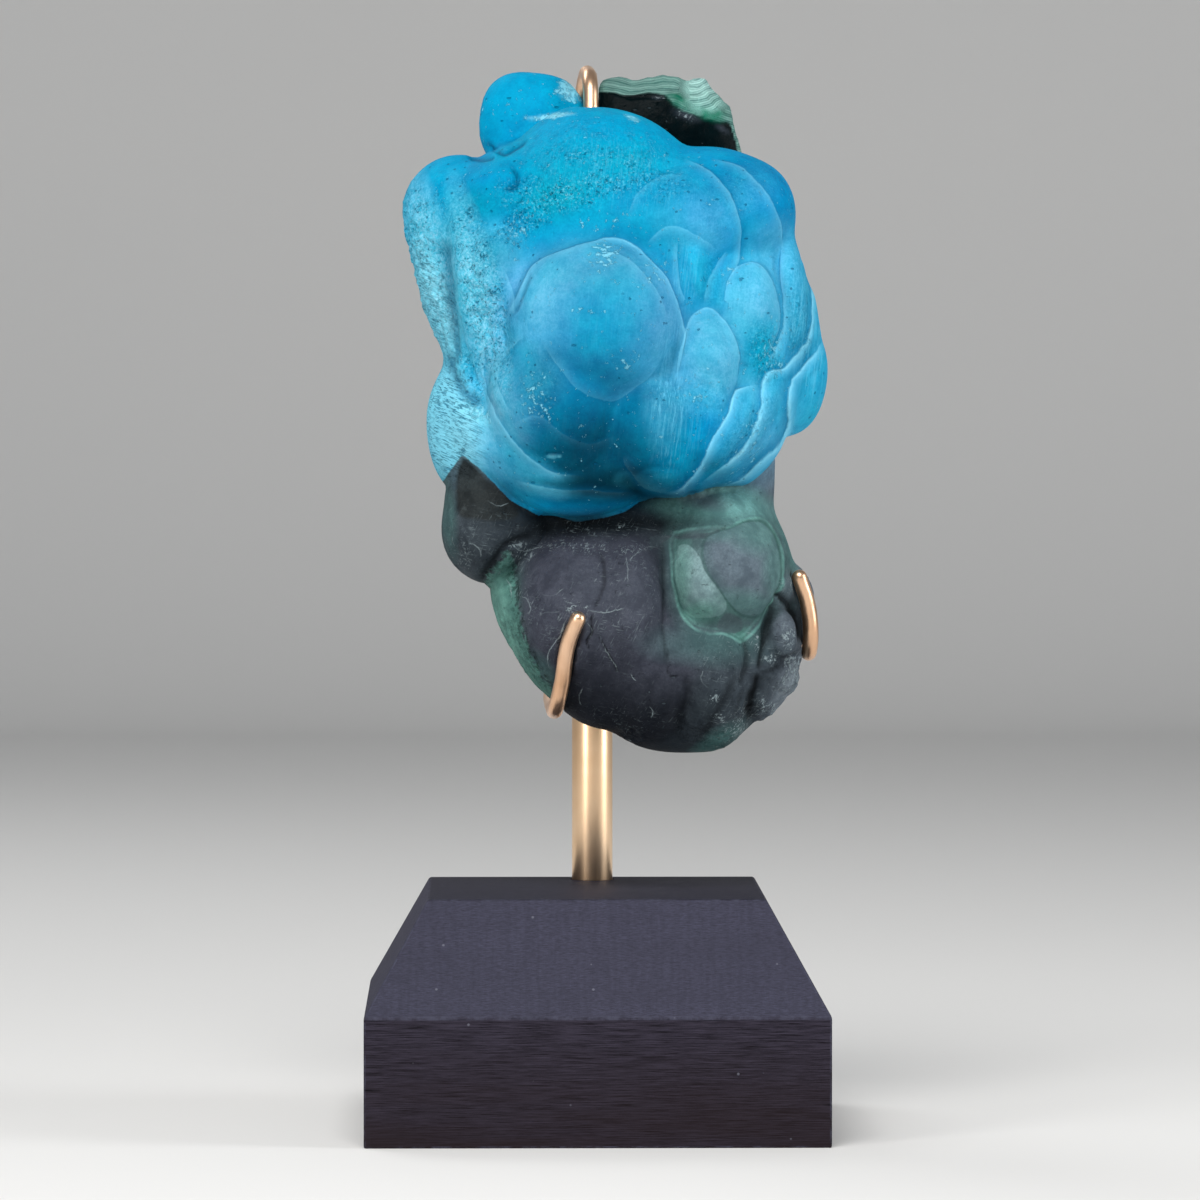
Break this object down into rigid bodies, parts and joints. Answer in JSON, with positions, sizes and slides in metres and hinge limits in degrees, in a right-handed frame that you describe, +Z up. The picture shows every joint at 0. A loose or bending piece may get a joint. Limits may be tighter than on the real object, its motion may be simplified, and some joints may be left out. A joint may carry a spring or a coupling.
{
  "type": "botryoidal malachite and chrysocolla specimen on stand",
  "caption": "Lumpy mineral specimen, blue growth over dark green lobes, held by brass wire claws on a post in a sloped black wooden base.",
  "frame": {"origin": "centre of the wooden base's underside", "axes": "+Z up, +X to the right as the specimen faces the viewer, -Y towards the viewer; the post stands at +Y, behind the specimen"},
  "size_m": [0.0705, 0.07, 0.1633],
  "materials": {
    "black_wood": "ebonised and waxed, satin",
    "brass": "satin drawn brass",
    "mineral": "waxy blue chrysocolla over near-black and green malachite"
  },
  "bodies": {
    "root": {"base": "black_wood", "post": "brass", "top_claw": "brass", "left_claw": "brass", "right_claw": "brass", "specimen": "mineral"}
  },
  "joints": []
}
